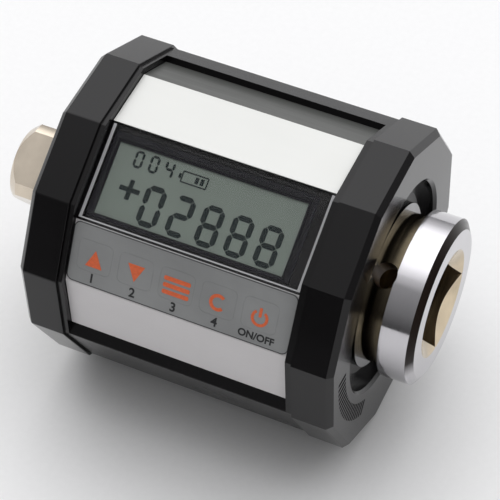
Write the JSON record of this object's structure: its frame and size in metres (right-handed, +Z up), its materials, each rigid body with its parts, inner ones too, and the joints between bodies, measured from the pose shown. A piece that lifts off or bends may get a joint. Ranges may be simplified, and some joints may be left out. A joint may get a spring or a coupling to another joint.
{
  "type": "torque tester",
  "caption": "Digital torque tester with a twelve-sided housing, a display, sprung keys, a male square drive and a female square socket on one shaft.",
  "frame": {"origin": "on the bench under the drive axis, midway between the tip of the male square and the face of the female collar", "axes": "+X along the drive axis towards the female square, +Y to the back, away from the keys, +Z up"},
  "size_m": [0.0764, 0.0512, 0.0538],
  "materials": {
    "housing": "gloss",
    "plate": "satin",
    "keypad": "satin",
    "keys": "satin",
    "window": "clear",
    "mask": "matte",
    "display": "satin",
    "board": "satin",
    "switch": "matte",
    "shaft": "polished",
    "gauge": "satin",
    "bush": "satin",
    "fastener": "satin",
    "cell": "satin",
    "contact": "satin",
    "holder": "matte"
  },
  "bodies": {
    "housing": {"centre_shell": "housing", "battery_cover": "housing", "front_end_cap": "housing", "rear_end_cap": "housing", "top_plate": "plate", "front_plate": "plate", "keypad_film": "keypad", "display_window": "window", "display_mask": "mask", "display_module": "display", "display_board": "board", "keypad_board": "board", "key_switches": "switch", "main_board": "board", "board_chips": "switch", "drive_shaft": "shaft", "strain_gauges": "gauge", "front_bush": "bush", "rear_bush": "bush", "retaining_ring": "fastener", "tie_screws": "fastener", "battery_cells": "cell", "battery_contacts": "contact", "battery_holder": "holder"},
    "key_up": {"key_up": "keys"},
    "key_down": {"key_down": "keys"},
    "key_mode": {"key_mode": "keys"},
    "key_clear": {"key_clear": "keys"},
    "key_power": {"key_power": "keys"}
  },
  "joints": [
    {"name": "key_up_press", "type": "slide", "parent": "housing", "child": "key_up", "axis": [0, 0.866, -0.5], "range_m": [0, 0.00025], "stiffness_N_per_m": 3000},
    {"name": "key_down_press", "type": "slide", "parent": "housing", "child": "key_down", "axis": [0, 0.866, -0.5], "range_m": [0, 0.00025], "stiffness_N_per_m": 3000},
    {"name": "key_mode_press", "type": "slide", "parent": "housing", "child": "key_mode", "axis": [0, 0.866, -0.5], "range_m": [0, 0.00025], "stiffness_N_per_m": 3000},
    {"name": "key_clear_press", "type": "slide", "parent": "housing", "child": "key_clear", "axis": [0, 0.866, -0.5], "range_m": [0, 0.00025], "stiffness_N_per_m": 3000},
    {"name": "key_power_press", "type": "slide", "parent": "housing", "child": "key_power", "axis": [0, 0.866, -0.5], "range_m": [0, 0.00025], "stiffness_N_per_m": 3000}
  ]
}
